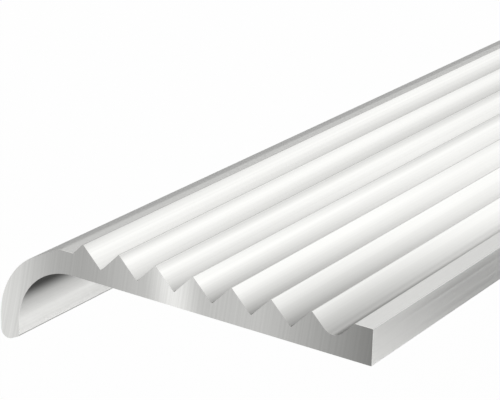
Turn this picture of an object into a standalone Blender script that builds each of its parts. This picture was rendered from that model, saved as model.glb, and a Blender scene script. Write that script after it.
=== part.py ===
"""Stair nosing strip: one aluminium extrusion that covers the front edge of a tread.

Seen from the side, a curved nose hooks down over the tread's edge and ends in a
short lip. Behind it a flat plate lies on the tread, with a row of V ribs for grip
and a square rib along its rear edge. The same section runs the whole length.

Frame, in metres: X runs along the strip, -Y is the front of the step, +Z is up.
The origin is the middle of the flat underside, which lies on the tread.
"""

import math

import bmesh
import bpy
from mathutils import Matrix, Vector

# Overall
LENGTH = 1.000

# Plate and V ribs. Heights are counted from the flat underside.
RIB_COUNT = 7
RIB_PITCH = 0.0038
RIB_FLANK_ANGLE = math.radians(45)
RIB_TIP_RADIUS = 0.00012
GROOVE_FLOOR = 0.00135
GROOVE_ROOT_RADIUS = 0.00012

# Rear edge: a wider groove with a round root, then a square rib
REAR_GROOVE_MOUTH = 0.0039
REAR_GROOVE_ROOT_RADIUS = 0.00115
REAR_RIB_WIDTH = 0.00165
CORNER_RADIUS = 0.0001

# Nose: up its rounded front, along a sloping flat and a short level one, to the first rib.
# The reach is counted from the front face to that rib's foot.
NOSE_REACH = 0.0084
NOSE_WALL = 0.0021
NOSE_TOP_FLAT = 0.00155
NOSE_SLOPE = math.radians(26.5)
NOSE_KINK_RADIUS = 0.0002
NOSE_OUTER_RADIUS = 0.0076
NOSE_INNER_RADIUS = 0.0062

# Lip
LIP_WALL = 0.0021
LIP_DROP = 0.00785
LIP_END_BEVEL = math.radians(25)
LIP_FRONT_RADIUS = 0.0008
LIP_BACK_RADIUS = 0.0003

# How far an arc's straight steps may lie inside it
CHORD_ERROR = 0.000005

# Finish
STRIP_COLOUR = (0.78, 0.78, 0.77, 1.0)
STRIP_ROUGHNESS = 0.34


def clear_scene():
    """Remove every object that the scene holds."""
    for old in list(bpy.data.objects):
        bpy.data.objects.remove(old, do_unlink=True)


def rib_corners(first_tip, tip_height, root_height):
    """Corners of the V ribs from front to rear, each as (y, z, radius)."""
    corners = []
    for rib in range(RIB_COUNT):
        tip = first_tip + rib * RIB_PITCH
        corners.append((tip, tip_height, RIB_TIP_RADIUS))
        if rib < RIB_COUNT - 1:
            corners.append((tip + RIB_PITCH / 2, root_height, GROOVE_ROOT_RADIUS))
    return corners


def lip_end_height():
    """Height of the lip's sharp front corner, which its rounding brings up to the lip's drop."""
    slope = math.tan(LIP_END_BEVEL)
    cut_away = LIP_FRONT_RADIUS * (slope + 1 / math.cos(LIP_END_BEVEL) - 1)
    return -LIP_DROP - cut_away


def section_corners():
    """Sharp corners of the section in order, each as (y, z, radius of its rounding).

    They start at the lip's front corner, go up over the nose, rearwards over the
    ribs, down the rear face, and back under the plate into the hook.
    """
    slope = math.tan(RIB_FLANK_ANGLE)
    # A rounding between two flanks lies this share of its radius off the sharp corner
    rounding = 1 / math.cos(RIB_FLANK_ANGLE) - 1

    # Heights
    root_height = GROOVE_FLOOR - GROOVE_ROOT_RADIUS * rounding
    tip_height = root_height + RIB_PITCH / 2 * slope
    rib_top = tip_height - RIB_TIP_RADIUS * rounding
    lip_front_height = lip_end_height()
    lip_back_height = lip_front_height + LIP_WALL * math.tan(LIP_END_BEVEL)
    nose_kink = NOSE_REACH - NOSE_TOP_FLAT
    nose_front_height = NOSE_WALL - nose_kink * math.tan(NOSE_SLOPE)

    # Places from front to rear, counted from the front face
    hook_back = LIP_WALL
    first_tip = NOSE_REACH + (tip_height - NOSE_WALL) / slope
    last_tip = first_tip + (RIB_COUNT - 1) * RIB_PITCH
    rear_rib_front = last_tip + REAR_GROOVE_MOUTH
    rear = rear_rib_front + REAR_RIB_WIDTH
    rear_root = (last_tip + rear_rib_front + (tip_height - rib_top) / slope) / 2
    rear_root_height = tip_height - (rear_root - last_tip) * slope

    corners = [
        (0.0, lip_front_height, LIP_FRONT_RADIUS),
        (0.0, nose_front_height, NOSE_OUTER_RADIUS),
        (nose_kink, NOSE_WALL, NOSE_KINK_RADIUS),
        (NOSE_REACH, NOSE_WALL, 0.0),
    ]
    corners += rib_corners(first_tip, tip_height, root_height)
    corners += [
        (rear_root, rear_root_height, REAR_GROOVE_ROOT_RADIUS),
        (rear_rib_front, rib_top, CORNER_RADIUS),
        (rear, rib_top, CORNER_RADIUS),
        (rear, 0.0, CORNER_RADIUS),
        (hook_back, 0.0, NOSE_INNER_RADIUS),
        (hook_back, lip_back_height, LIP_BACK_RADIUS),
    ]
    seat_middle = (hook_back + NOSE_INNER_RADIUS + rear) / 2
    return [(y - seat_middle, z, radius) for y, z, radius in corners]


def rounded(before, corner, after, radius):
    """Points of the arc that rounds a corner, or the corner itself if it stays sharp."""
    if radius == 0.0:
        return [corner]
    to_before = (before - corner).normalized()
    to_after = (after - corner).normalized()
    half_angle = to_before.angle(to_after) / 2
    reach = radius / math.tan(half_angle)
    centre = corner + (to_before + to_after).normalized() * radius / math.sin(half_angle)
    first_spoke = corner + to_before * reach - centre
    last_spoke = corner + to_after * reach - centre
    # angle_signed counts clockwise, and a rotation matrix counts the other way
    turn = -first_spoke.angle_signed(last_spoke)
    step = 2 * math.acos(1 - CHORD_ERROR / radius)
    steps = max(2, math.ceil(abs(turn) / step))
    turns = [turn * i / steps for i in range(steps + 1)]
    return [centre + Matrix.Rotation(angle, 2) @ first_spoke for angle in turns]


def section_outline():
    """The section's closed outline as (y, z) points, with every corner rounded."""
    corners = section_corners()
    places = [Vector((y, z)) for y, z, _ in corners]
    outline = []
    for i, (_, _, radius) in enumerate(corners):
        after = places[(i + 1) % len(places)]
        outline += rounded(places[i - 1], places[i], after, radius)
    return outline


def aluminium():
    """Mill-finished aluminium, drawn along the strip."""
    material = bpy.data.materials.new("aluminium")
    material.use_nodes = True
    shader = material.node_tree.nodes["Principled BSDF"]
    shader.inputs["Base Color"].default_value = STRIP_COLOUR
    shader.inputs["Metallic"].default_value = 1.0
    shader.inputs["Roughness"].default_value = STRIP_ROUGHNESS
    return material


def nosing_strip():
    """The strip: its section, extruded from one end to the other."""
    shape = bmesh.new()
    end = [shape.verts.new((-LENGTH / 2, point.x, point.y)) for point in section_outline()]
    cap = shape.faces.new(end)
    swept = bmesh.ops.extrude_face_region(shape, geom=[cap], use_keep_orig=True)
    far_end = [item for item in swept["geom"] if isinstance(item, bmesh.types.BMVert)]
    bmesh.ops.translate(shape, verts=far_end, vec=(LENGTH, 0, 0))
    bmesh.ops.recalc_face_normals(shape, faces=shape.faces)

    mesh = bpy.data.meshes.new("nosing_strip")
    shape.to_mesh(mesh)
    shape.free()
    mesh.materials.append(aluminium())
    mesh.shade_smooth()
    mesh.set_sharp_from_angle(angle=math.radians(35))
    strip = bpy.data.objects.new("nosing_strip", mesh)
    bpy.context.scene.collection.objects.link(strip)
    return strip


def main():
    """Build the strip in an empty scene."""
    clear_scene()
    nosing_strip()


main()
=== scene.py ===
"""Looks of the stair nosing strip: satin mill aluminium with two sawn ends, in a plain studio.

The strip's section is drawn once from its sizes, its ribs are repeated along it by
Geometry Nodes, and the section is drawn out to the strip's length. The camera stands
where the photograph was taken from, close to the near end and above the rear edge.
"""

import logging
import math
from dataclasses import dataclass, field
from enum import Enum

import bpy
from mathutils import Matrix, Vector


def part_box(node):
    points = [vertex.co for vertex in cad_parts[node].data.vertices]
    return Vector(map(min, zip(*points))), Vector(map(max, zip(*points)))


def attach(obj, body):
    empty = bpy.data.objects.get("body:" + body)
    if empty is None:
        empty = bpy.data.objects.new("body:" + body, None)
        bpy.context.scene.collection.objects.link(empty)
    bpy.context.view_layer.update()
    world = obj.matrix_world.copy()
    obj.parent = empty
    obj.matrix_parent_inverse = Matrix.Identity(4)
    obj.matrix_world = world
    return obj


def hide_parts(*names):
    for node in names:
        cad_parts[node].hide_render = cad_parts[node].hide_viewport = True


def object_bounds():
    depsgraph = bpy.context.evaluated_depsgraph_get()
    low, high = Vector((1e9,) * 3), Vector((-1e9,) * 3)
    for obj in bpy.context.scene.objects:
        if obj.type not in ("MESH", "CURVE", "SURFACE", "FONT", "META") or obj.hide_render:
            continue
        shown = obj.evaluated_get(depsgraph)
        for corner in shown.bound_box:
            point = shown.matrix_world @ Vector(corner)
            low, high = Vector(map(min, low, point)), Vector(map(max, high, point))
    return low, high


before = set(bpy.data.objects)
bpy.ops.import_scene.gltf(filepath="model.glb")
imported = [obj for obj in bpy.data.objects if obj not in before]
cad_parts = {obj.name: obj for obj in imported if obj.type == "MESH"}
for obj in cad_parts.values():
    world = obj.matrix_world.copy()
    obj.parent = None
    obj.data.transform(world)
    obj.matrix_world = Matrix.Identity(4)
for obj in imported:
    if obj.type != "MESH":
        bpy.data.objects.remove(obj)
cad_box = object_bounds()

MILLIMETRE = 0.001
MICROMETRE = 0.000001

# Noise values at which the fine lines, and the clouds, are absent and full
GRAIN_RANGE = (0.3, 0.7)
CLOUD_RANGE = (0.25, 0.75)

# How many times finer noise is laid over the coarse
GRAIN_DETAIL = 3.0
CLOUD_DETAIL = 2.0

Colour = tuple[float, float, float, float]
Place = tuple[float, float, float]
WHITE: Colour = (1.0, 1.0, 1.0, 1.0)

log = logging.getLogger("nosing")


class Finish(Enum):
    """The two finishes of the strip, in the order of its material slots."""

    MILL = 0
    SAWN = 1


class Tree:
    """Adds nodes to a node tree and joins them up."""

    def __init__(self, tree: bpy.types.NodeTree) -> None:
        """Work on one tree."""
        self.tree = tree

    def add(self, kind: str, feeds: dict | None = None, **settings: object) -> bpy.types.Node:
        """Add a node.

        Args:
            kind: The node's type.
            feeds: What each input gets, by name or number: a socket to join or a plain value.
            settings: The node's own settings.

        Returns:
            The new node.
        """
        node = self.tree.nodes.new(kind)
        for name, value in settings.items():
            setattr(node, name, value)
        for key, value in (feeds or {}).items():
            if isinstance(value, bpy.types.NodeSocket):
                self.tree.links.new(value, node.inputs[key])
            else:
                node.inputs[key].default_value = value
        return node

    def math(self, operation: str, *terms: object) -> bpy.types.NodeSocket:
        """Do one sum on plain numbers or sockets.

        Args:
            operation: The Math node's operation.
            terms: Its inputs in order.

        Returns:
            The socket with the result.
        """
        return self.add("ShaderNodeMath", dict(enumerate(terms)), operation=operation).outputs[0]

    def smooth(self, value: object, low: float, high: float) -> bpy.types.NodeSocket:
        """Turn a value into a soft step.

        Args:
            value: The socket to read.
            low: Where the step is still 0.
            high: Where it reaches 1. It may lie below low.

        Returns:
            The socket with the step, from 0 to 1.
        """
        feeds = {"Value": value, "From Min": low, "From Max": high}
        node = self.add("ShaderNodeMapRange", feeds, interpolation_type="SMOOTHSTEP")
        return node.outputs["Result"]

    def ramp(self, value: object, low: float, high: float,
             first: float = 0.0, last: float = 1.0) -> bpy.types.NodeSocket:
        """Turn a value into an even slope that is level outside its ends.

        Args:
            value: The socket to read.
            low: Where the slope starts.
            high: Where it ends. It may lie below low.
            first: What the slope is at its start.
            last: What it is at its end.

        Returns:
            The socket with the slope.
        """
        feeds = {"Value": value, "From Min": low, "From Max": high, "To Min": first, "To Max": last}
        return self.add("ShaderNodeMapRange", feeds).outputs["Result"]

    def length(self, first: object, second: object) -> bpy.types.NodeSocket:
        """Work out how long the diagonal of two steps at right angles is.

        Args:
            first: One step.
            second: The other.

        Returns:
            The socket with the length.
        """
        flat = self.add("ShaderNodeCombineXYZ", {0: first, 1: second}).outputs[0]
        return self.add("ShaderNodeVectorMath", {0: flat}, operation="LENGTH").outputs["Value"]

    def blend(self, share: object, first: object, second: object) -> bpy.types.NodeSocket:
        """Blend two colours.

        Args:
            share: How much of the second shows, from 0 to 1.
            first: The first colour, plain or a socket.
            second: The second colour.

        Returns:
            The socket with the blended colour.
        """
        # A Mix node's colours are its inputs 6 and 7, and its blended colour is output 2
        feeds = {0: share, 6: first, 7: second}
        return self.add("ShaderNodeMix", feeds, data_type="RGBA").outputs[2]


def group_tree(name: str, inputs: dict[str, object], outputs: dict[str, str]) -> bpy.types.NodeTree:
    """Start a shader node group.

    Args:
        name: The group's name.
        inputs: Each input's name with its default: a number, or None for a vector.
        outputs: Each output's name with its socket type.

    Returns:
        The group, with its sockets but no nodes.
    """
    tree = bpy.data.node_groups.new(name, "ShaderNodeTree")
    for label, value in inputs.items():
        kind = "NodeSocketVector" if value is None else "NodeSocketFloat"
        socket = tree.interface.new_socket(name=label, in_out="INPUT", socket_type=kind)
        if value is not None:
            socket.default_value = value
    for label, kind in outputs.items():
        tree.interface.new_socket(name=label, in_out="OUTPUT", socket_type=kind)
    return tree


class SharedEffects:
    """The node groups that both finishes use, each built once."""

    def __init__(self) -> None:
        """Build the groups."""
        self.grain = self.build_grain()
        self.clouds = self.build_clouds()
        self.band = self.build_band()

    @staticmethod
    def build_grain() -> bpy.types.NodeTree:
        """Build fine lines: noise that is stretched along one axis of its vector.

        Returns:
            The group. Its mask runs from 0 to 1.
        """
        sockets = {"Vector": None, "Along": 3.0, "Across": 9000.0, "Sharpness": 0.5}
        tree = group_tree("drawn_grain", sockets, {"Mask": "NodeSocketFloat"})
        nodes = Tree(tree)
        given = nodes.add("NodeGroupInput").outputs
        scale = nodes.add("ShaderNodeCombineXYZ", {0: given["Along"], 1: given["Across"],
                                                   2: given["Across"]}).outputs[0]
        stretched = nodes.add("ShaderNodeVectorMath", {0: given["Vector"], 1: scale},
                              operation="MULTIPLY").outputs[0]
        noise = nodes.add("ShaderNodeTexNoise", {
            "Vector": stretched, "Scale": 1.0, "Detail": GRAIN_DETAIL,
            "Roughness": given["Sharpness"]})
        nodes.add("NodeGroupOutput", {"Mask": nodes.smooth(noise.outputs["Fac"], *GRAIN_RANGE)})
        return tree

    @staticmethod
    def build_clouds() -> bpy.types.NodeTree:
        """Build soft clouds, as a thin oxide skin varies over bare metal.

        Returns:
            The group. Its mask runs from 0 to 1.
        """
        sockets = {"Vector": None, "Size": 0.02, "Stretch": 3.0}
        tree = group_tree("oxide_clouds", sockets, {"Mask": "NodeSocketFloat"})
        nodes = Tree(tree)
        given = nodes.add("NodeGroupInput").outputs
        across = nodes.math("DIVIDE", 1.0, given["Size"])
        along = nodes.math("DIVIDE", across, given["Stretch"])
        scale = nodes.add("ShaderNodeCombineXYZ", {0: along, 1: across, 2: across}).outputs[0]
        stretched = nodes.add("ShaderNodeVectorMath", {0: given["Vector"], 1: scale},
                              operation="MULTIPLY").outputs[0]
        noise = nodes.add("ShaderNodeTexNoise", {
            "Vector": stretched, "Scale": 1.0, "Detail": CLOUD_DETAIL})
        nodes.add("NodeGroupOutput", {"Mask": nodes.smooth(noise.outputs["Fac"], *CLOUD_RANGE)})
        return tree

    @staticmethod
    def build_band() -> bpy.types.NodeTree:
        """Build one soft band across a surface.

        Returns:
            The group. Its mask is 1 at Centre and falls to 0 at Reach from it.
        """
        sockets = {"Position": 0.0, "Centre": 0.0, "Reach": 0.004}
        tree = group_tree("soft_band", sockets, {"Mask": "NodeSocketFloat"})
        nodes = Tree(tree)
        given = nodes.add("NodeGroupInput").outputs
        away = nodes.math("ABSOLUTE", nodes.math("SUBTRACT", given["Position"], given["Centre"]))
        share = nodes.math("DIVIDE", away, given["Reach"])
        nodes.add("NodeGroupOutput", {"Mask": nodes.smooth(share, 1.0, 0.0)})
        return tree


def place_group(nodes: Tree, tree: bpy.types.NodeTree,
                feeds: dict[str, object]) -> bpy.types.NodeSocket:
    """Place a shared effect in a material.

    Args:
        nodes: The material's nodes.
        tree: The effect's group.
        feeds: The values or sockets of its inputs, by name.

    Returns:
        The socket with the effect's mask.
    """
    return nodes.add("ShaderNodeGroup", feeds, node_tree=tree).outputs["Mask"]


def new_material(name: str) -> tuple[bpy.types.Material, Tree]:
    """Start a material whose tree is empty.

    Args:
        name: The material's name.

    Returns:
        The material and its nodes.
    """
    material = bpy.data.materials.new(name)
    material.use_nodes = True
    material.node_tree.nodes.clear()
    return material, Tree(material.node_tree)


@dataclass(frozen=True)
class StripSection:
    """The strip's section, in metres: Y to the rear and Z up, before it is set on its seat."""

    rib_count: int = 7
    rib_pitch: float = 0.0038
    rib_flank_angle: float = math.radians(45)
    rib_tip_radius: float = 0.00012
    groove_floor: float = 0.00135
    groove_root_radius: float = 0.00012
    rear_groove_mouth: float = 0.0039
    rear_groove_root_radius: float = 0.00115
    rear_rib_width: float = 0.00165
    corner_radius: float = 0.0001
    nose_reach: float = 0.0084
    nose_wall: float = 0.0021
    nose_top_flat: float = 0.00155
    nose_slope: float = math.radians(26.5)
    # Feet have worn this ridge rounder than it left the die
    nose_kink_radius: float = 0.0015
    nose_outer_radius: float = 0.0076
    nose_inner_radius: float = 0.0062
    lip_wall: float = 0.0021
    lip_drop: float = 0.00785
    lip_end_bevel: float = math.radians(25)
    lip_front_radius: float = 0.0008
    lip_back_radius: float = 0.0003

    @property
    def rounding(self) -> float:
        """How far a rounded rib tip or root lies off its sharp corner, in radii."""
        return 1 / math.cos(self.rib_flank_angle) - 1

    @property
    def root_height(self) -> float:
        """Height of a groove's sharp root."""
        return self.groove_floor - self.groove_root_radius * self.rounding

    @property
    def tip_height(self) -> float:
        """Height of a rib's sharp tip."""
        return self.root_height + self.rib_pitch / 2 * math.tan(self.rib_flank_angle)

    @property
    def rib_top(self) -> float:
        """Height of a rib's rounded tip and of the rear rib's flat top."""
        return self.tip_height - self.rib_tip_radius * self.rounding

    @property
    def first_tip(self) -> float:
        """Place of the first rib's tip, counted from the front face."""
        rise = self.tip_height - self.nose_wall
        return self.nose_reach + rise / math.tan(self.rib_flank_angle)

    @property
    def last_tip(self) -> float:
        """Place of the last rib's tip."""
        return self.first_tip + (self.rib_count - 1) * self.rib_pitch

    @property
    def rear(self) -> float:
        """Place of the rear face."""
        return self.last_tip + self.rear_groove_mouth + self.rear_rib_width

    @property
    def seat_middle(self) -> float:
        """Place of the middle of the flat underside, where the strip's origin is."""
        return (self.lip_wall + self.nose_inner_radius + self.rear) / 2

    def rear_root(self) -> tuple[float, float]:
        """Place and height of the rear groove's sharp root."""
        slope = math.tan(self.rib_flank_angle)
        rib_front = self.last_tip + self.rear_groove_mouth
        place = (self.last_tip + rib_front + (self.tip_height - self.rib_top) / slope) / 2
        return place, self.tip_height - (place - self.last_tip) * slope

    def fixed_corners(self) -> list[tuple[float, float, float]]:
        """Corners from the last rib's tip round the rear, underside and nose to the first tip.

        Returns:
            Each corner as (y, z, radius), counted from the front face and the underside.
        """
        slope = math.tan(self.lip_end_bevel)
        cut_away = self.lip_front_radius * (slope + 1 / math.cos(self.lip_end_bevel) - 1)
        lip_front_height = -self.lip_drop - cut_away
        lip_back_height = lip_front_height + self.lip_wall * slope
        nose_kink = self.nose_reach - self.nose_top_flat
        nose_front_height = self.nose_wall - nose_kink * math.tan(self.nose_slope)
        rib_front = self.last_tip + self.rear_groove_mouth
        return [
            (self.last_tip, self.tip_height, self.rib_tip_radius),
            (*self.rear_root(), self.rear_groove_root_radius),
            (rib_front, self.rib_top, self.corner_radius),
            (self.rear, self.rib_top, self.corner_radius),
            (self.rear, 0.0, self.corner_radius),
            (self.lip_wall, 0.0, self.nose_inner_radius),
            (self.lip_wall, lip_back_height, self.lip_back_radius),
            (0.0, lip_front_height, self.lip_front_radius),
            (0.0, nose_front_height, self.nose_outer_radius),
            (nose_kink, self.nose_wall, self.nose_kink_radius),
            (self.nose_reach, self.nose_wall, 0.0),
            (self.first_tip, self.tip_height, self.rib_tip_radius),
        ]


@dataclass(frozen=True)
class MillFinish:
    """Aluminium as it leaves the die: satin, with fine lines along the strip.

    Painted shade lies in the grooves. At the near end it deepens from the nose to the rear,
    and farther along it is lighter behind the first ribs. Painted shade also darkens the
    rear corner at the near end, the hook's crook, the rear rib's upper rear edge and some crests.

    Places are counted across the strip, or up it, in the strip's own frame. A drift is the
    distance from the near end at which a change along the strip is complete. Where the painted
    shade ends in the rear groove is told in shares of the root's reach, and where the crook's
    painted shade ends in shares of the nose's wall and radius.
    """

    effects: SharedEffects
    section: StripSection
    near_end: float
    clean: Colour = (0.94, 0.94, 0.92, 1.0)
    # Dark grey of the painted shade in the grooves, and of the darker fine lines and clouds
    shade_and_grain: Colour = (0.38, 0.38, 0.37, 1.0)
    # Painted shade in the rear corner at the near end
    corner_shade: Colour = (0.18, 0.18, 0.175, 1.0)
    # Painted shade in the hook's crook
    crook_shade: Colour = (0.05, 0.05, 0.048, 1.0)
    # Painted shade on the crests
    crest_shade: Colour = (0.66, 0.66, 0.645, 1.0)
    edge_tint: Colour = (0.55, 0.55, 0.55, 1.0)
    roughness: float = 0.30
    lines_along: float = 3.0
    lines_across: float = 9000.0
    line_depth: float = 1.5 * MICROMETRE
    line_share: float = 0.04
    line_roughness: float = 0.08
    cloud_size: float = 20 * MILLIMETRE
    cloud_stretch: float = 3.0
    cloud_share: float = 0.03
    # Painted groove shade: where it starts below the crests, and how it changes along and across
    shade_start: float = 0.48 * MILLIMETRE
    shade_drift: float = 42 * MILLIMETRE
    shade_end_places: tuple[float, float] = (-13.5 * MILLIMETRE, -1 * MILLIMETRE)
    shade_end_shares: tuple[float, float] = (0.28, 1.0)
    shade_far_places: tuple[float, float] = (-8.6 * MILLIMETRE, -5 * MILLIMETRE)
    shade_far_shares: tuple[float, float] = (0.76, 0.27)
    shade_in_root: float = 0.80
    shade_root_thins: tuple[float, float] = (-1.5, -0.5)
    shade_root_ends: tuple[float, float] = (-0.5, 0.1)
    # Painted crest shade: its depth, its track across the strip and how that drifts along it
    crest_shade_depth: float = 0.52 * MILLIMETRE
    crest_shade_reach: float = 9.0 * MILLIMETRE
    crest_shade_full: float = 0.96
    crest_shade_on_top: float = 0.5
    crest_shade_at_end: float = -8.2 * MILLIMETRE
    crest_shade_beyond: float = -3.6 * MILLIMETRE
    crest_shade_drift: float = 38 * MILLIMETRE
    spared_top_depth: float = 0.06 * MILLIMETRE
    first_crest_shade_reach: float = 0.75 * MILLIMETRE
    first_crest_shade_shares: tuple[float, float] = (1.0, 0.22)
    first_crest_shade_drift: float = 50 * MILLIMETRE
    # Painted shade in the rear corner at the near end
    corner_shade_along: float = 32 * MILLIMETRE
    corner_shade_across: float = 18 * MILLIMETRE
    corner_shade_share: float = 0.42
    corner_shade_on_crests: float = 0.45
    corner_shade_below: float = 0.5 * MILLIMETRE
    # Painted shade in the hook's crook
    crook_start: float = -4.3 * MILLIMETRE
    crook_end: float = -2.1 * MILLIMETRE
    crook_in_wall: tuple[float, float] = (0.50, 0.25)
    crook_to_seat: float = 0.50
    crook_share: float = 0.90
    # Painted shade over the rear rib's upper rear edge
    edge_width: float = 0.12 * MILLIMETRE
    edge_share: float = 0.5
    fade: float = 0.2 * MILLIMETRE

    def material(self) -> bpy.types.Material:
        """Build the finish.

        Returns:
            Its material.
        """
        material, nodes = new_material("mill_aluminium")
        point = nodes.add("ShaderNodeTexCoord").outputs["Object"]
        apart = nodes.add("ShaderNodeSeparateXYZ", {0: point}).outputs
        lines = place_group(nodes, self.effects.grain, {
            "Vector": point, "Along": self.lines_along, "Across": self.lines_across})
        clouds = place_group(nodes, self.effects.clouds, {
            "Vector": point, "Size": self.cloud_size, "Stretch": self.cloud_stretch})
        among_ribs = self.among_ribs(nodes, apart)
        # Painted shade in the grooves and on the rear rib's upper rear edge
        shade_and_grain = nodes.math("MULTIPLY", self.groove_shade(nodes, apart), among_ribs)
        shade_and_grain = nodes.math("MAXIMUM", shade_and_grain, self.rear_edge(nodes, apart))
        # Painted shade on the crests, and in the rear corner at the near end
        painted_dark = nodes.math("MULTIPLY", self.shaded_crests(nodes, apart), among_ribs)
        corner = nodes.math("MULTIPLY", self.near_corner(nodes, apart), among_ribs)

        # The painted shade is laid over the clean metal first; the fine lines and clouds are the
        # metal's own
        colour = nodes.blend(shade_and_grain, self.clean, self.shade_and_grain)
        colour = nodes.blend(painted_dark, colour, self.crest_shade)
        colour = nodes.blend(nodes.math("MULTIPLY", corner, self.corner_shade_share), colour, self.corner_shade)
        colour = nodes.blend(self.crook(nodes, apart), colour, self.crook_shade)
        colour = nodes.blend(nodes.math("MULTIPLY", lines, self.line_share), colour, self.shade_and_grain)
        colour = nodes.blend(nodes.math("MULTIPLY", clouds, self.cloud_share), colour, self.shade_and_grain)
        roughness = nodes.math("MULTIPLY_ADD", lines, self.line_roughness, self.roughness)
        bump = nodes.add("ShaderNodeBump", {"Height": lines, "Distance": self.line_depth})
        shader = nodes.add("ShaderNodeBsdfPrincipled", {
            "Base Color": colour, "Metallic": 1.0, "Roughness": roughness,
            "Specular Tint": self.edge_tint, "Normal": bump.outputs["Normal"]})
        nodes.add("ShaderNodeOutputMaterial", {"Surface": shader.outputs[0]})
        return material

    def among_ribs(self, nodes: Tree, apart: object) -> bpy.types.NodeSocket:
        """Mask the grooved field: between the nose and the rear rib, and above the web.

        Args:
            nodes: The material's nodes.
            apart: The place on the strip, axis by axis.

        Returns:
            The socket with the mask.
        """
        section = self.section
        start = section.nose_reach - section.seat_middle
        end = section.last_tip + section.rear_groove_mouth - section.seat_middle
        web_middle = section.groove_floor / 2
        behind_nose = nodes.smooth(apart["Y"], start, start + self.fade)
        before_rear = nodes.smooth(apart["Y"], end, end - self.fade)
        above_web = nodes.smooth(apart["Z"], web_middle - self.fade, web_middle)
        return nodes.math("MULTIPLY", nodes.math("MULTIPLY", behind_nose, before_rear), above_web)

    def groove_shade(self, nodes: Tree, apart: object) -> bpy.types.NodeSocket:
        """Mask the painted shade in the grooves, which deepens evenly from below the crests to the
        grooves' floors.

        Args:
            nodes: The material's nodes.
            apart: The place on the strip, axis by axis.

        Returns:
            The socket with the mask. It ends at the rear groove's root, whose rear side has none.
        """
        section = self.section
        depth = nodes.ramp(apart["Z"], section.rib_top - self.shade_start, section.groove_floor)
        root = section.rear_root()[0] - section.seat_middle
        root_reach = section.rear_groove_root_radius * math.sin(section.rib_flank_angle)
        thin_from, thin_to = (root + share * root_reach for share in self.shade_root_thins)
        last, bare = (root + share * root_reach for share in self.shade_root_ends)
        before_root = nodes.math("MULTIPLY", nodes.smooth(apart["Y"], bare, last),
                                 nodes.ramp(apart["Y"], thin_from, thin_to, 1.0, self.shade_in_root))
        at_end = nodes.ramp(apart["Y"], *self.shade_end_places, *self.shade_end_shares)
        far = nodes.ramp(apart["Y"], *self.shade_far_places, *self.shade_far_shares)
        drift = nodes.ramp(apart["X"], self.near_end, self.near_end - self.shade_drift)
        share = nodes.math("MULTIPLY_ADD", drift, nodes.math("SUBTRACT", far, at_end), at_end)
        return nodes.math("MULTIPLY", nodes.math("MULTIPLY", depth, before_root), share)

    def shaded_crests(self, nodes: Tree, apart: object) -> bpy.types.NodeSocket:
        """Mask the painted shade on the crests, along a track that drifts to the rear.

        Args:
            nodes: The material's nodes.
            apart: The place on the strip, axis by axis.

        Returns:
            The socket with the mask. It shades each crest's very top by half only,
            and it adds the whole of the first crest, most at the near end.
        """
        centre = nodes.ramp(apart["X"], self.near_end, self.near_end - self.crest_shade_drift,
                            self.crest_shade_at_end, self.crest_shade_beyond)
        band = place_group(nodes, self.effects.band, {"Position": apart["Y"], "Centre": centre,
                                                      "Reach": self.crest_shade_reach})
        rib_top = self.section.rib_top
        crest = nodes.ramp(apart["Z"], rib_top - self.crest_shade_depth, rib_top - self.spared_top_depth)
        below_top = nodes.ramp(apart["Z"], rib_top, rib_top - self.spared_top_depth,
                               self.crest_shade_on_top, 1.0)
        track = nodes.ramp(band, 0.0, self.crest_shade_full)
        along_track = nodes.math("MULTIPLY", nodes.math("MULTIPLY", crest, below_top), track)
        first_tip = self.section.first_tip - self.section.seat_middle
        first_crest = nodes.ramp(apart["Y"], first_tip + self.first_crest_shade_reach, first_tip)
        first_share = nodes.ramp(apart["X"], self.near_end, self.near_end - self.first_crest_shade_drift,
                                 *self.first_crest_shade_shares)
        return nodes.math("MAXIMUM", along_track, nodes.math("MULTIPLY", first_crest, first_share))

    def near_corner(self, nodes: Tree, apart: object) -> bpy.types.NodeSocket:
        """Mask the painted shade in the rear corner at the near end.

        Args:
            nodes: The material's nodes.
            apart: The place on the strip, axis by axis.

        Returns:
            The socket with the mask, 1 in the corner and less on the crests.
        """
        rear = self.section.rear - self.section.seat_middle
        along = nodes.math("DIVIDE", nodes.math("SUBTRACT", apart["X"], self.near_end),
                           self.corner_shade_along)
        across = nodes.math("DIVIDE", nodes.math("SUBTRACT", apart["Y"], rear), self.corner_shade_across)
        rib_top = self.section.rib_top
        off_crest = nodes.ramp(apart["Z"], rib_top, rib_top - self.corner_shade_below,
                               self.corner_shade_on_crests, 1.0)
        near = nodes.smooth(nodes.length(along, across), 1.0, 0.0)
        return nodes.math("MULTIPLY", near, off_crest)

    def crook(self, nodes: Tree, apart: object) -> bpy.types.NodeSocket:
        """Mask the painted shade in the crook of the hook.

        Args:
            nodes: The material's nodes.
            apart: The place on the strip, axis by axis.

        Returns:
            The socket with the mask, at its strongest below the nose's top.
        """
        section = self.section
        bend = section.lip_wall + section.nose_inner_radius - section.seat_middle
        radius = section.nose_inner_radius
        across = nodes.math("SUBTRACT", apart["Y"], bend)
        upwards = nodes.math("ADD", apart["Z"], radius)
        clean_from, full_to = (radius + share * section.nose_wall for share in self.crook_in_wall)
        inside = nodes.smooth(nodes.length(across, upwards), clean_from, full_to)
        before_seat = nodes.ramp(across, 0.0, -radius * self.crook_to_seat)
        high = nodes.smooth(apart["Z"], self.crook_start, self.crook_end)
        mask = nodes.math("MULTIPLY", nodes.math("MULTIPLY", inside, high), before_seat)
        return nodes.math("MULTIPLY", mask, self.crook_share)

    def rear_edge(self, nodes: Tree, apart: object) -> bpy.types.NodeSocket:
        """Mask the painted shade on the rear rib's upper rear edge, which dims its highlight.

        Args:
            nodes: The material's nodes.
            apart: The place on the strip, axis by axis.

        Returns:
            The socket with the mask.
        """
        rear = self.section.rear - self.section.seat_middle
        top = self.section.rib_top
        behind = nodes.ramp(apart["Y"], rear - self.edge_width, rear - self.edge_width / 2)
        above = nodes.ramp(apart["Z"], top - self.edge_width, top - self.edge_width / 2)
        return nodes.math("MULTIPLY", nodes.math("MULTIPLY", behind, above), self.edge_share)


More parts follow.
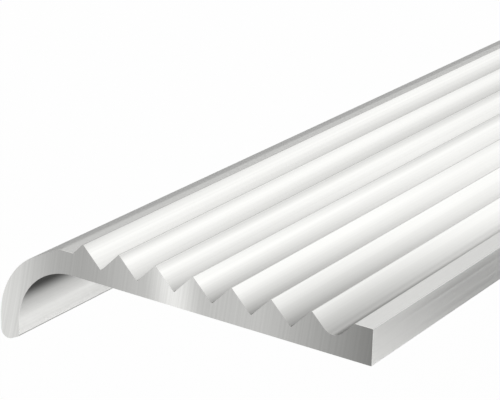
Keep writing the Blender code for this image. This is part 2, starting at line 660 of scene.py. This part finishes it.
@dataclass(frozen=True)
class SawnFinish:
    """The cut ends: duller than the drawn faces, with the arcs that a saw blade leaves.

    Bands of painted reflection lie across the face, bright and dark, and painted shade
    grows towards the rear.
    """

    effects: SharedEffects
    section: StripSection
    clean: Colour = (0.60, 0.60, 0.587, 1.0)
    # Painted dark reflection band
    painted_dark: Colour = (0.435, 0.435, 0.425, 1.0)
    # Painted shade towards the rear, and the saw marks' darker grey
    shade_and_mark_grey: Colour = (0.25, 0.25, 0.243, 1.0)
    # Painted highlight bands
    bright: Colour = (0.93, 0.93, 0.912, 1.0)
    roughness: float = 0.42
    marks_along: float = 40.0
    marks_across: float = 5000.0
    mark_share: float = 0.09
    mark_roughness: float = 0.1
    mark_depth: float = 2.5 * MICROMETRE
    blade_radius: float = 0.125
    blade_rise: float = 0.02
    # Painted highlight at the nose, painted dark band, painted highlight streak, and where the
    # painted shade towards the rear starts
    nose_reach: float = 9.0 * MILLIMETRE
    nose_share: float = 0.55
    dip_centre: float = -14.2 * MILLIMETRE
    dip_reach: float = 8.4 * MILLIMETRE
    streak_centre: float = -4.12 * MILLIMETRE
    streak_reach: float = 3.2 * MILLIMETRE
    band_share: float = 0.94
    rear_shade_start: float = 4.5 * MILLIMETRE

    def material(self) -> bpy.types.Material:
        """Build the finish.

        Returns:
            Its material.
        """
        material, nodes = new_material("sawn_aluminium")
        point = nodes.add("ShaderNodeTexCoord").outputs["Object"]
        apart = nodes.add("ShaderNodeSeparateXYZ", {0: point}).outputs
        marks = self.saw_marks(nodes, point)
        # Painted reflection bands and painted shade, under the saw marks
        colour = self.banded(nodes, apart["Y"])
        colour = nodes.blend(nodes.math("MULTIPLY", marks, self.mark_share), colour, self.shade_and_mark_grey)
        roughness = nodes.math("MULTIPLY_ADD", marks, self.mark_roughness, self.roughness)
        bump = nodes.add("ShaderNodeBump", {"Height": marks, "Distance": self.mark_depth})
        shader = nodes.add("ShaderNodeBsdfPrincipled", {
            "Base Color": colour, "Metallic": 1.0, "Roughness": roughness,
            "Normal": bump.outputs["Normal"]})
        nodes.add("ShaderNodeOutputMaterial", {"Surface": shader.outputs[0]})
        return material

    def saw_marks(self, nodes: Tree, point: bpy.types.NodeSocket) -> bpy.types.NodeSocket:
        """Mask the arcs that the blade's teeth leave.

        Args:
            nodes: The material's nodes.
            point: The place on the strip.

        Returns:
            The socket with the mask.
        """
        centre = (0.0, -self.blade_radius, self.blade_rise)
        away = nodes.add("ShaderNodeVectorMath", {0: point, 1: centre},
                         operation="SUBTRACT").outputs[0]
        flat = nodes.add("ShaderNodeVectorMath", {0: away, 1: (0.0, 1.0, 1.0)},
                         operation="MULTIPLY").outputs[0]
        arc = nodes.add("ShaderNodeVectorMath", {0: flat}, operation="LENGTH").outputs["Value"]
        height = nodes.add("ShaderNodeSeparateXYZ", {0: point}).outputs["Z"]
        arcs = nodes.add("ShaderNodeCombineXYZ", {0: height, 1: arc}).outputs[0]
        return place_group(nodes, self.effects.grain, {
            "Vector": arcs, "Along": self.marks_along, "Across": self.marks_across})

    def banded(self, nodes: Tree, across: bpy.types.NodeSocket) -> bpy.types.NodeSocket:
        """Lay the painted reflection bands, bright and dark, and the painted shade towards the rear
        over the cut's own grey.

        Args:
            nodes: The material's nodes.
            across: The place across the strip.

        Returns:
            The socket with the colour.
        """
        front = -self.section.seat_middle
        rear = self.section.rear - self.section.seat_middle
        nose = place_group(nodes, self.effects.band, {
            "Position": across, "Centre": front, "Reach": self.nose_reach})
        dip = place_group(nodes, self.effects.band, {
            "Position": across, "Centre": self.dip_centre, "Reach": self.dip_reach})
        streak = place_group(nodes, self.effects.band, {
            "Position": across, "Centre": self.streak_centre, "Reach": self.streak_reach})
        # Painted shade growing towards the rear
        rear_shade = nodes.ramp(across, self.rear_shade_start, rear)
        colour = nodes.blend(nodes.math("MULTIPLY", nose, self.nose_share), self.clean, self.bright)
        colour = nodes.blend(nodes.math("MULTIPLY", dip, self.band_share), colour, self.painted_dark)
        colour = nodes.blend(nodes.math("MULTIPLY", streak, self.band_share), colour, self.bright)
        return nodes.blend(rear_shade, colour, self.shade_and_mark_grey)


@dataclass
class NosingStrip:
    """The strip itself: one extrusion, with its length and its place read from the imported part."""

    section: StripSection
    node: str = "nosing_strip"
    slot: str = "strip"
    body: str = "root"
    edge_break: float = 0.05 * MILLIMETRE
    edge_break_steps: int = 2
    edge_break_angle: float = math.radians(60)
    large_arc_steps: int = 32
    small_arc_steps: int = 12
    large_radius: float = 0.5 * MILLIMETRE
    end_facing: float = 0.9
    weld: float = 0.001 * MILLIMETRE
    crease: float = math.radians(35)
    materials: dict[Finish, bpy.types.Material] = field(default_factory=dict)

    def build(self) -> bpy.types.Object:
        """Build the strip, dress it and hand it to the frame.

        Returns:
            The finished piece.
        """
        low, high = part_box(self.node)
        source = self.corner_line()
        self.add_nodes(source, low.x, high.x - low.x)
        self.break_edges(source)
        drawn = self.made_plain(source)
        drawn.data.shade_smooth()
        drawn.data.set_sharp_from_angle(angle=self.crease)
        weigh = drawn.modifiers.new("flat_flanks", "WEIGHTED_NORMAL")
        weigh.mode = "FACE_AREA"
        weigh.keep_sharp = True
        piece = self.made_plain(drawn)
        piece.name = piece.data.name = "nosing_extrusion"
        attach(piece, self.body)
        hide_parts(self.node)
        return piece

    @staticmethod
    def made_plain(source: bpy.types.Object) -> bpy.types.Object:
        """Turn an object with modifiers into one with a plain mesh.

        Args:
            source: The object with the modifiers. It is removed.

        Returns:
            The object with the plain mesh.
        """
        bpy.context.view_layer.update()
        evaluated = source.evaluated_get(bpy.context.evaluated_depsgraph_get())
        shape = bpy.data.meshes.new_from_object(evaluated)
        bpy.data.objects.remove(source)
        plain = bpy.data.objects.new("plain", shape)
        bpy.context.scene.collection.objects.link(plain)
        return plain

    def corner_line(self) -> bpy.types.Object:
        """Draw the corners that don't repeat as one open line, with each corner's radius on it.

        Returns:
            An object in the XY plane: the section's Y lies along X there, and its Z along Y.
        """
        corners = self.section.fixed_corners()
        shape = bpy.data.meshes.new("corner_line")
        points = [(y, z, 0.0) for y, z, _ in corners]
        shape.from_pydata(points, [(i, i + 1) for i in range(len(points) - 1)], [])
        radii = shape.attributes.new("corner_radius", "FLOAT", "POINT")
        radii.data.foreach_set("value", [radius for _, _, radius in corners])
        line = bpy.data.objects.new("corner_line", shape)
        bpy.context.scene.collection.objects.link(line)
        return line

    def add_nodes(self, line: bpy.types.Object, start: float, length: float) -> None:
        """Add the modifier that turns the corner line into the strip.

        Args:
            line: The object with the corners that don't repeat.
            start: Where the strip starts along X.
            length: How long it is.
        """
        tree = self.strip_tree()
        modifier = line.modifiers.new("strip", "NODES")
        modifier.node_group = tree
        sizes = {
            "Rib Count": self.section.rib_count,
            "Rib Pitch": self.section.rib_pitch,
            "First Tip": self.section.first_tip,
            "Tip Height": self.section.tip_height,
            "Root Height": self.section.root_height,
            "Tip Radius": self.section.rib_tip_radius,
            "Root Radius": self.section.groove_root_radius,
            "Seat Middle": self.section.seat_middle,
            "Start": start,
            "Length": length,
        }
        for item in tree.interface.items_tree:
            if item.name in sizes:
                modifier[item.identifier] = sizes[item.name]

    def strip_tree(self) -> bpy.types.NodeTree:
        """Build the Geometry Nodes: rib corners, rounding, extrusion and finishes.

        Returns:
            The tree. Its named inputs are the ribs' sizes and the strip's place and length.
        """
        tree = bpy.data.node_groups.new("nosing_strip", "GeometryNodeTree")
        tree.interface.new_socket(name="Corners", in_out="INPUT", socket_type="NodeSocketGeometry")
        tree.interface.new_socket(name="Rib Count", in_out="INPUT", socket_type="NodeSocketInt")
        for name in ("Rib Pitch", "First Tip", "Tip Height", "Root Height", "Tip Radius",
                     "Root Radius", "Seat Middle", "Start", "Length"):
            tree.interface.new_socket(name=name, in_out="INPUT", socket_type="NodeSocketFloat")
        tree.interface.new_socket(name="Strip", in_out="OUTPUT", socket_type="NodeSocketGeometry")
        nodes = Tree(tree)
        given = nodes.add("NodeGroupInput").outputs
        outline = self.rounded_outline(nodes, given, self.rib_line(nodes, given))
        solid = self.drawn_out(nodes, given, outline)
        self.give_finishes(nodes, solid)
        return tree

    def rib_line(self, nodes: Tree, given: object) -> bpy.types.NodeSocket:
        """Repeat the ribs' tips and roots at the pitch.

        Args:
            nodes: The tree's nodes.
            given: The tree's inputs.

        Returns:
            The line from the first tip to the last, with each corner's radius on it.
        """
        # One tip and one root for each rib, but no root behind the last
        count = nodes.math("MULTIPLY_ADD", given["Rib Count"], 2.0, -1.0)
        start = nodes.add("ShaderNodeCombineXYZ", {0: given["First Tip"],
                                                   1: given["Tip Height"]}).outputs[0]
        step = nodes.add("ShaderNodeCombineXYZ", {
            0: nodes.math("DIVIDE", given["Rib Pitch"], 2.0)}).outputs[0]
        line = nodes.add("GeometryNodeMeshLine", {"Count": count, "Start Location": start,
                                                  "Offset": step}).outputs[0]
        index = nodes.add("GeometryNodeInputIndex").outputs[0]
        is_root = nodes.math("MODULO", index, 2.0)
        depth = nodes.math("SUBTRACT", given["Root Height"], given["Tip Height"])
        drop = nodes.add("ShaderNodeCombineXYZ", {
            1: nodes.math("MULTIPLY", is_root, depth)}).outputs[0]
        zigzag = nodes.add("GeometryNodeSetPosition", {"Geometry": line, "Offset": drop}).outputs[0]
        wider = nodes.math("SUBTRACT", given["Root Radius"], given["Tip Radius"])
        radius = nodes.math("MULTIPLY_ADD", is_root, wider, given["Tip Radius"])
        return nodes.add("GeometryNodeStoreNamedAttribute", {
            "Geometry": zigzag, "Name": "corner_radius", "Value": radius},
            data_type="FLOAT", domain="POINT").outputs[0]

    def rounded_outline(self, nodes: Tree, given: object,
                        ribs: bpy.types.NodeSocket) -> bpy.types.NodeSocket:
        """Close the corner line with the ribs and round each corner.

        Args:
            nodes: The tree's nodes.
            given: The tree's inputs.
            ribs: The ribs' line.

        Returns:
            The section's closed curve.
        """
        joined = nodes.add("GeometryNodeJoinGeometry")
        nodes.tree.links.new(given["Corners"], joined.inputs[0])
        nodes.tree.links.new(ribs, joined.inputs[0])
        ring = nodes.add("GeometryNodeMergeByDistance", {
            "Geometry": joined.outputs[0], "Distance": self.weld}).outputs[0]
        curve = nodes.add("GeometryNodeMeshToCurve", {"Mesh": ring}).outputs[0]
        radius = nodes.add("GeometryNodeInputNamedAttribute", {"Name": "corner_radius"},
                           data_type="FLOAT").outputs[0]
        is_large = nodes.math("GREATER_THAN", radius, self.large_radius)
        more = float(self.large_arc_steps - self.small_arc_steps)
        steps = nodes.math("MULTIPLY_ADD", is_large, more, float(self.small_arc_steps))
        return nodes.add("GeometryNodeFilletCurve", {
            "Curve": curve, "Radius": radius, "Count": steps}, mode="POLY").outputs[0]

    def drawn_out(self, nodes: Tree, given: object,
                  outline: bpy.types.NodeSocket) -> bpy.types.NodeSocket:
        """Fill the outline, draw it out to the strip's length and set it on its seat.

        Args:
            nodes: The tree's nodes.
            given: The tree's inputs.
            outline: The section's closed curve.

        Returns:
            The closed solid in the strip's own frame.
        """
        face = nodes.add("GeometryNodeFillCurve", {"Curve": outline}, mode="NGONS").outputs[0]
        drawn = nodes.add("GeometryNodeExtrudeMesh", {
            "Mesh": face, "Offset": (0.0, 0.0, 1.0), "Offset Scale": given["Length"],
            "Individual": False}, mode="FACES").outputs[0]
        back = nodes.add("GeometryNodeFlipFaces", {"Mesh": face}).outputs[0]
        joined = nodes.add("GeometryNodeJoinGeometry")
        nodes.tree.links.new(drawn, joined.inputs[0])
        nodes.tree.links.new(back, joined.inputs[0])
        closed = nodes.add("GeometryNodeMergeByDistance", {
            "Geometry": joined.outputs[0], "Distance": self.weld}).outputs[0]
        # The turn takes the section's own X to Y, its Y to Z and the drawing direction to X
        seat = nodes.math("MULTIPLY", given["Seat Middle"], -1.0)
        place = nodes.add("ShaderNodeCombineXYZ", {0: given["Start"], 1: seat}).outputs[0]
        quarter = math.radians(90)
        return nodes.add("GeometryNodeTransform", {
            "Geometry": closed, "Translation": place, "Rotation": (quarter, 0.0, quarter)}).outputs[0]

    def give_finishes(self, nodes: Tree, solid: bpy.types.NodeSocket) -> None:
        """End the tree: mill finish on the drawn faces, and flat sawn ends.

        Args:
            nodes: The tree's nodes.
            solid: The closed solid.
        """
        normal = nodes.add("GeometryNodeInputNormal").outputs[0]
        along = nodes.add("ShaderNodeSeparateXYZ", {0: normal}).outputs["X"]
        is_end = nodes.math("GREATER_THAN", nodes.math("ABSOLUTE", along), self.end_facing)
        real = nodes.add("GeometryNodeRealizeInstances", {0: solid}).outputs[0]
        milled = nodes.add("GeometryNodeSetMaterial", {
            "Geometry": real, "Material": self.materials[Finish.MILL]}).outputs[0]
        dressed = nodes.add("GeometryNodeSetMaterial", {
            "Geometry": milled, "Selection": is_end,
            "Material": self.materials[Finish.SAWN]}).outputs[0]
        nodes.add("NodeGroupOutput", {0: dressed})

    def break_edges(self, strip: bpy.types.Object) -> None:
        """Take the sharp edge off both sawn ends.

        Args:
            strip: The object with the strip's Geometry Nodes.
        """
        bevel = strip.modifiers.new("edge_break", "BEVEL")
        bevel.width = self.edge_break
        bevel.segments = self.edge_break_steps
        bevel.limit_method = "ANGLE"
        bevel.angle_limit = self.edge_break_angle
        bevel.use_clamp_overlap = False


@dataclass(frozen=True)
class Card:
    """A grey card beside the set, which only reflections show. It shapes the light on metal.

    It lies between two opposite corners, upright or level. Its tones are places along its
    axis with the grey at each.
    """

    name: str
    low: Place
    high: Place
    axis: str
    tones: tuple[tuple[float, float], ...]

    def build(self) -> bpy.types.Object:
        """Set the card up.

        Returns:
            The card.
        """
        low, high = Vector(self.low), Vector(self.high)
        shape = bpy.data.meshes.new(self.name)
        # Low and high share their Y on an upright card and their Z on a level one
        corners = [low, (high.x, low.y, low.z), high, (low.x, high.y, high.z)]
        shape.from_pydata(corners, [], [(0, 1, 2, 3)])
        material, nodes = new_material(self.name)
        glow = nodes.add("ShaderNodeEmission", {"Color": WHITE, "Strength": self.tone(nodes)})
        nodes.add("ShaderNodeOutputMaterial", {"Surface": glow.outputs[0]})
        shape.materials.append(material)
        card = bpy.data.objects.new(self.name, shape)
        bpy.context.scene.collection.objects.link(card)
        card.visible_camera = False
        card.visible_diffuse = False
        card.visible_shadow = False
        return card

    def tone(self, nodes: Tree) -> bpy.types.NodeSocket:
        """Grade the card's grey evenly from each of its places to the next.

        Args:
            nodes: The card's nodes.

        Returns:
            The socket with the grey.
        """
        point = nodes.add("ShaderNodeTexCoord").outputs["Object"]
        along = nodes.add("ShaderNodeSeparateXYZ", {0: point}).outputs[self.axis]
        grey = self.tones[0][1]
        for (start, before), (end, after) in zip(self.tones, self.tones[1:]):
            grey = nodes.math("MULTIPLY_ADD", nodes.ramp(along, start, end), after - before, grey)
        return grey


@dataclass(frozen=True)
class Softbox:
    """A wide soft lamp with an even face."""

    name: str
    centre: Place
    size: tuple[float, float]
    level: float

    def build(self) -> bpy.types.Object:
        """Hang the lamp up, facing down.

        Returns:
            The lamp.
        """
        light = bpy.data.lights.new(self.name, "AREA")
        light.shape = "RECTANGLE"
        width, depth = self.size
        light.size, light.size_y = width, depth
        # The power follows the face's area, so that the level holds at any size
        light.energy = self.level * math.pi * width * depth
        lamp = bpy.data.objects.new(self.name, light)
        lamp.location = self.centre
        bpy.context.scene.collection.objects.link(lamp)
        lamp.visible_camera = False
        return lamp


FRONT_CARD = Card(
    name="front_card", low=(-4.0, -0.12, -0.07), high=(0.48, -0.12, 0.17), axis="Z",
    tones=((-0.065, 0.12), (-0.020, 0.56), (0.063, 0.61), (0.128, 0.82)))
UNDER_CARD = Card(
    name="under_card", low=(-4.0, -0.12, -0.069), high=(0.48, 0.04, -0.069), axis="Y",
    tones=((-0.08, 0.08), (0.04, 0.80)))
REAR_CARD = Card(
    name="rear_card", low=(-4.0, 0.04, -0.069), high=(0.40, 0.40, -0.069), axis="X",
    tones=((0.20, 1.0), (0.27, 1.0), (0.31, 0.30), (0.353, 0.0), (0.366, 1.0), (0.380, 1.2)))
TOP_SOFTBOX = Softbox(name="top_softbox", centre=(-1.6, 0.45, 0.40), size=(4.6, 0.8), level=0.15)


@dataclass
class Studio:
    """A plain pale floor below the strip, white surroundings, grey cards and a soft lamp."""

    floor_drop: float = 0.07
    floor_size: float = 12.0
    floor_grey: float = 0.82
    white_share: float = 0.95
    sky_level: float = 1.0
    cards: tuple[Card, ...] = (FRONT_CARD, UNDER_CARD, REAR_CARD)
    lamps: tuple[Softbox, ...] = (TOP_SOFTBOX,)

    def build(self) -> None:
        """Set the floor, the surroundings, the cards and the lamps up."""
        self.build_floor()
        self.build_world()
        for prop in (*self.cards, *self.lamps):
            prop.build()
            log.info("%s", prop.name)

    @staticmethod
    def seen_plainly(nodes: Tree) -> bpy.types.NodeSocket:
        """Tell the rays that see the floor as white: the camera's, and those off or through gloss.

        Args:
            nodes: The nodes to work in.

        Returns:
            A socket that is 1 for such rays.
        """
        path = nodes.add("ShaderNodeLightPath").outputs
        first = nodes.math("MAXIMUM", path["Is Camera Ray"], path["Is Glossy Ray"])
        return nodes.math("MAXIMUM", first, path["Is Transmission Ray"])

    def build_floor(self) -> bpy.types.Object:
        """Lay the floor.

        Returns:
            The floor.
        """
        half = self.floor_size / 2
        shape = bpy.data.meshes.new("floor")
        corners = [(-half, -half, -self.floor_drop), (half, -half, -self.floor_drop),
                   (half, half, -self.floor_drop), (-half, half, -self.floor_drop)]
        shape.from_pydata(corners, [], [(0, 1, 2, 3)])
        material, nodes = new_material("floor")
        paint = nodes.add("ShaderNodeBsdfDiffuse", {
            "Color": (self.floor_grey, self.floor_grey, self.floor_grey, 1.0)})
        white = nodes.add("ShaderNodeEmission", {"Color": WHITE})
        share = nodes.math("MULTIPLY", self.seen_plainly(nodes), self.white_share)
        mixed = nodes.add("ShaderNodeMixShader", {0: share, 1: paint.outputs[0],
                                                  2: white.outputs[0]})
        nodes.add("ShaderNodeOutputMaterial", {"Surface": mixed.outputs[0]})
        shape.materials.append(material)
        floor = bpy.data.objects.new("floor", shape)
        bpy.context.scene.collection.objects.link(floor)
        return floor

    def build_world(self) -> bpy.types.World:
        """Surround the set with white.

        Returns:
            The world.
        """
        world = bpy.data.worlds.new("studio")
        world.use_nodes = True
        world.node_tree.nodes.clear()
        nodes = Tree(world.node_tree)
        glow = nodes.add("ShaderNodeBackground", {"Color": WHITE, "Strength": self.sky_level})
        nodes.add("ShaderNodeOutputWorld", {"Surface": glow.outputs[0]})
        bpy.context.scene.world = world
        return world


@dataclass(frozen=True)
class PhotoCamera:
    """The camera of the photograph: close to the near end, above and behind the rear edge."""

    place: Place = (0.6123, 0.07935, 0.0621)
    yaw: float = math.radians(34.12)
    pitch: float = math.radians(20.64)
    roll: float = math.radians(-1.08)
    focal_pixels: float = 1867.8
    picture_width: int = 500
    sensor_width: float = 36.0
    nearest: float = 0.01
    farthest: float = 100.0

    def build(self) -> bpy.types.Object:
        """Set the camera up and make it the scene's own.

        Returns:
            The camera.
        """
        level = math.cos(self.pitch)
        ahead = Vector((-level * math.cos(self.yaw), -level * math.sin(self.yaw),
                        -math.sin(self.pitch)))
        right = ahead.cross(Vector((0, 0, 1))).normalized()
        up = right.cross(ahead)
        turn = Matrix((right, up, -ahead)).transposed() @ Matrix.Rotation(-self.roll, 3, "Z")
        lens = bpy.data.cameras.new("photo_camera")
        lens.sensor_width = self.sensor_width
        lens.lens = self.focal_pixels * self.sensor_width / self.picture_width
        lens.clip_start, lens.clip_end = self.nearest, self.farthest
        camera = bpy.data.objects.new("photo_camera", lens)
        camera.matrix_world = Matrix.Translation(self.place) @ turn.to_4x4()
        bpy.context.scene.collection.objects.link(camera)
        bpy.context.scene.camera = camera
        return camera


def main() -> None:
    """Build the strip, the studio and the camera."""
    logging.basicConfig(level=logging.INFO, format="%(name)s: %(message)s")
    bpy.context.scene.view_settings.view_transform = "Standard"
    section = StripSection()
    effects = SharedEffects()
    near_end = cad_box[1].x
    finishes = {Finish.MILL: MillFinish(effects, section, near_end).material(),
                Finish.SAWN: SawnFinish(effects, section).material()}
    piece = NosingStrip(section, materials=finishes).build()
    log.info("%s: %d faces", piece.name, len(piece.data.polygons))
    Studio().build()
    PhotoCamera().build()


if __name__ == "__main__":
    main()
